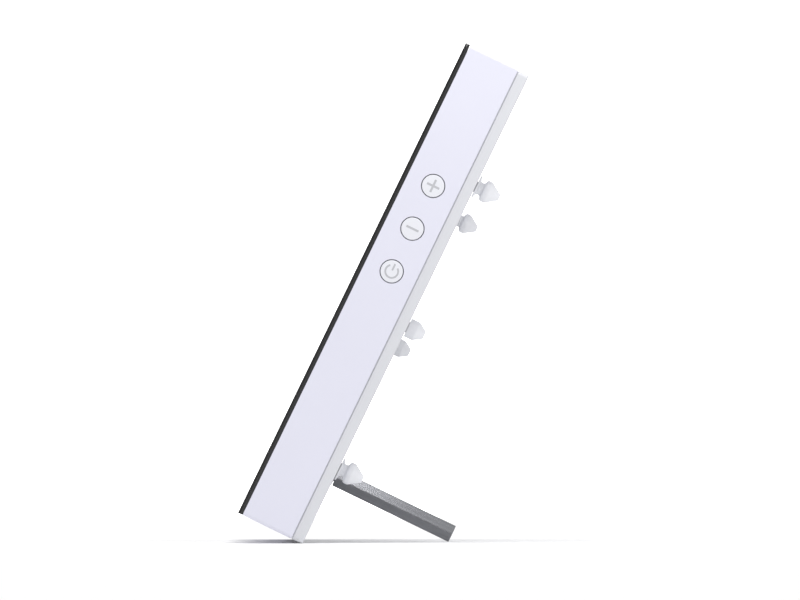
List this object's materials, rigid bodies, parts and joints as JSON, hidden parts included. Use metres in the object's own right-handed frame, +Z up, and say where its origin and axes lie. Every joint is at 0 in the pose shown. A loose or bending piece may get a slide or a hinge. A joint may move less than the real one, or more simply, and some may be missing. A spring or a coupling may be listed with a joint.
{
  "type": "digital photo frame",
  "caption": "Landscape digital photo frame with side push buttons, leaning back on one screw-in hexagonal leg, with snap-in mounting pegs on its back.",
  "frame": {"origin": "centre of the footprint, on the surface that the frame stands on", "axes": "+X along the width towards the buttons, +Y towards the back and the leg, +Z up"},
  "size_m": [0.262, 0.1012, 0.1743],
  "materials": {
    "white_abs": "satin moulded white ABS",
    "cover_abs": "fine-textured white ABS",
    "button_abs": "satin moulded white ABS",
    "peg_nylon": "moulded white nylon",
    "smoked_glass": "black-backed cover glass",
    "black_foam": "double-sided foam tape",
    "lcd_glass": "dark display cell",
    "acrylic": "clear acrylic light guide",
    "plated_steel": "zinc-plated sheet steel",
    "dark_screw": "black-zinc screw steel",
    "circuit_board": "green solder mask",
    "chip_epoxy": "moulded black epoxy",
    "ribbon_film": "polyimide film",
    "cable_jacket": "soft black jacket",
    "brass": "turned brass",
    "aluminium": "drawn aluminium bar",
    "black_rubber": "moulded rubber"
  },
  "bodies": {
    "frame": {"backlight_tray": "plated_steel", "board_screw_1": "plated_steel", "board_screw_2": "plated_steel", "board_screw_3": "plated_steel", "board_screw_4": "plated_steel", "button_board": "circuit_board", "button_board_screw_1": "plated_steel", "button_board_screw_2": "plated_steel", "button_cable": "cable_jacket", "card_socket": "plated_steel", "clip_screw_1": "plated_steel", "clip_screw_2": "plated_steel", "clip_screw_3": "plated_steel", "clip_screw_4": "plated_steel", "cover_screw_1": "dark_screw", "cover_screw_2": "dark_screw", "cover_screw_3": "dark_screw", "cover_screw_4": "dark_screw", "cover_screw_5": "dark_screw", "cover_screw_6": "dark_screw", "display_clip_1": "plated_steel", "display_clip_2": "plated_steel", "display_clip_3": "plated_steel", "display_clip_4": "plated_steel", "display_ribbon": "ribbon_film", "front_panel": "smoked_glass", "housing": "white_abs", "lcd_cell": "lcd_glass", "leg_insert": "brass", "light_guide": "acrylic", "locating_knob_left": "peg_nylon", "locating_knob_right": "peg_nylon", "main_board": "circuit_board", "memory_chip": "chip_epoxy", "mount_peg_lower_left": "peg_nylon", "mount_peg_lower_right": "peg_nylon", "mount_peg_upper_left": "peg_nylon", "mount_peg_upper_right": "peg_nylon", "panel_tape": "black_foam", "processor": "chip_epoxy", "rear_cover": "cover_abs", "speaker_left": "chip_epoxy", "speaker_right": "chip_epoxy", "switch_minus": "plated_steel", "switch_plus": "plated_steel", "switch_power": "plated_steel", "usb_power_socket": "plated_steel"},
    "button_plus_cap": {"button_plus": "button_abs", "plunger_plus": "chip_epoxy"},
    "button_minus_cap": {"button_minus": "button_abs", "plunger_minus": "chip_epoxy"},
    "button_power_cap": {"button_power": "button_abs", "plunger_power": "chip_epoxy"},
    "leg_seat": {"leg_washer": "black_rubber"},
    "screw_leg": {"leg": "aluminium"}
  },
  "joints": [
    {"name": "press_plus", "type": "slide", "parent": "frame", "child": "button_plus_cap", "axis": [-1, 0, 0], "range_m": [0, 0.0005], "stiffness_N_per_m": 3000},
    {"name": "press_minus", "type": "slide", "parent": "frame", "child": "button_minus_cap", "axis": [-1, 0, 0], "range_m": [0, 0.0005], "stiffness_N_per_m": 3000},
    {"name": "press_power", "type": "slide", "parent": "frame", "child": "button_power_cap", "axis": [-1, 0, 0], "range_m": [0, 0.0005], "stiffness_N_per_m": 3000},
    {"name": "leg_draw", "type": "slide", "parent": "frame", "child": "leg_seat", "axis": [0, 0.8999, -0.436], "range_m": [0, 0.007]},
    {"name": "leg_turn", "type": "hinge", "parent": "leg_seat", "child": "screw_leg", "pos_m": [0.028, -0.01685, 0.02408], "axis": [0, 0.8999, -0.436], "range_deg": [0, 3600]}
  ],
  "couplings": [
    {"joint": "leg_turn", "follows": "leg_draw", "rad_per_m": 8976}
  ]
}
